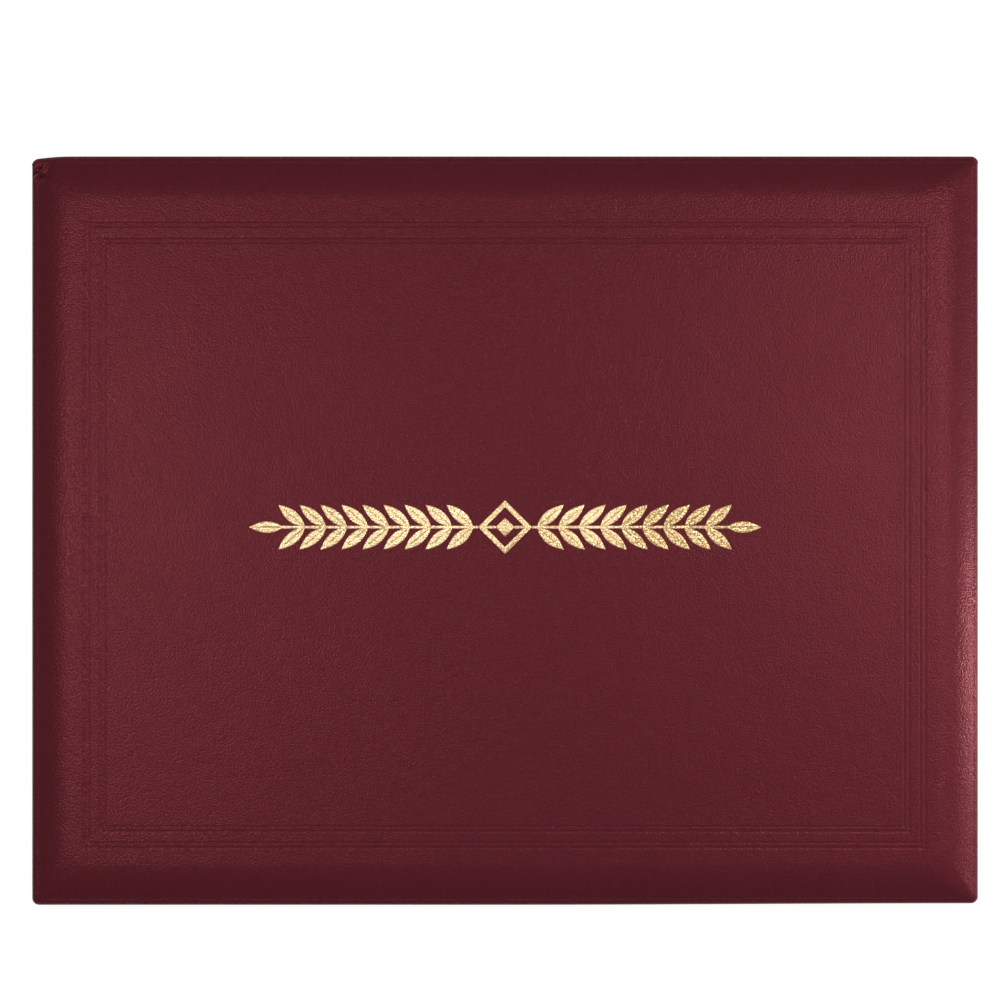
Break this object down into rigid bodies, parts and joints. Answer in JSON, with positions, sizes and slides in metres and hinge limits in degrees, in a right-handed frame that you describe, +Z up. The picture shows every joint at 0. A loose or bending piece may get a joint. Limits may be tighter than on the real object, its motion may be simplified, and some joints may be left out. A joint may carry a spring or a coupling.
{
  "type": "diploma cover",
  "caption": "Padded leatherette diploma cover, landscape, closed, with a blind-embossed double frame and a gold-foil laurel ornament; opens at the spine along its long top edge.",
  "frame": {"origin": "on the surface it lies on, under the middle of the closed cover", "axes": "+X to the right along the long edge, +Y towards the spine (the top edge), +Z up through the padded front"},
  "size_m": [0.2986, 0.2362, 0.0154],
  "materials": {
    "leatherette": "burgundy pebble-grain leatherette, semi-gloss",
    "greyboard": "plain grey binder's board",
    "liner_card": "plain white card",
    "moire": "cream moire acetate fabric, watered sheen",
    "ribbon": "cream satin ribbon",
    "foam": "soft polyurethane foam",
    "gold_foil": "hot-stamped gold foil, bright with leather grain"
  },
  "bodies": {
    "back_cover": {"back_leatherette": "leatherette", "back_board": "greyboard", "back_liner_card": "liner_card", "back_moire_lining": "moire", "corner_ribbon_spine_left": "ribbon", "corner_ribbon_spine_right": "ribbon", "corner_ribbon_front_left": "ribbon", "corner_ribbon_front_right": "ribbon"},
    "spine": {"spine_leatherette": "leatherette", "spine_inner_strip": "leatherette"},
    "front_cover": {"front_leatherette": "leatherette", "front_foam_pad": "foam", "front_board": "greyboard", "front_liner_card": "liner_card", "front_moire_lining": "moire", "gold_ornament": "gold_foil"}
  },
  "joints": [
    {"name": "spine_hinge", "type": "hinge", "parent": "back_cover", "child": "spine", "pos_m": [0, 0.1181, 0.0018], "axis": [-1, 0, 0], "range_deg": [0, 52]},
    {"name": "front_hinge", "type": "hinge", "parent": "spine", "child": "front_cover", "pos_m": [0, 0.1181, 0.0093], "axis": [-1, 0, 0], "range_deg": [0, 128]}
  ],
  "couplings": [
    {"joint": "spine_hinge", "follows": "front_hinge", "ratio": 0.40625}
  ]
}
